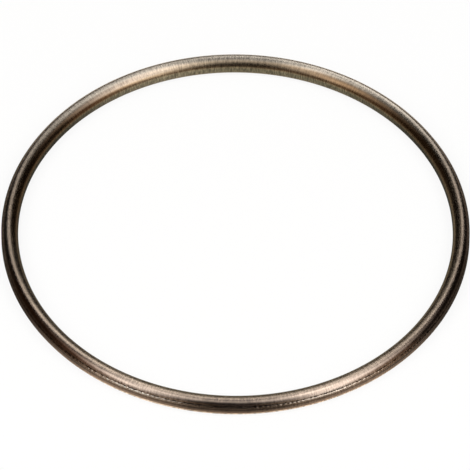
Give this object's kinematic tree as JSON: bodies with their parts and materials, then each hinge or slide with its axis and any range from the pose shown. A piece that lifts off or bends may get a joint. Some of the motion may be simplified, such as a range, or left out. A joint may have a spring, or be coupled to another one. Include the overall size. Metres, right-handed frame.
{
  "type": "spiral wound gasket",
  "caption": "Slim round sealing ring of wound metal strip with an oval section, clamped between two pipe flanges.",
  "frame": {"origin": "centre of the lower sealing face, on the ring's axis", "axes": "+Z along the ring's axis, up from the lower face; the weld pit in the bore lies near +Y"},
  "size_m": [0.112, 0.112, 0.0045],
  "materials": {
    "heat_tinted_steel": "bare rolled stainless steel strip, brown heat tint, fine cross-wise forming marks"
  },
  "bodies": {
    "root": {"wound_ring": "heat_tinted_steel"}
  },
  "joints": []
}
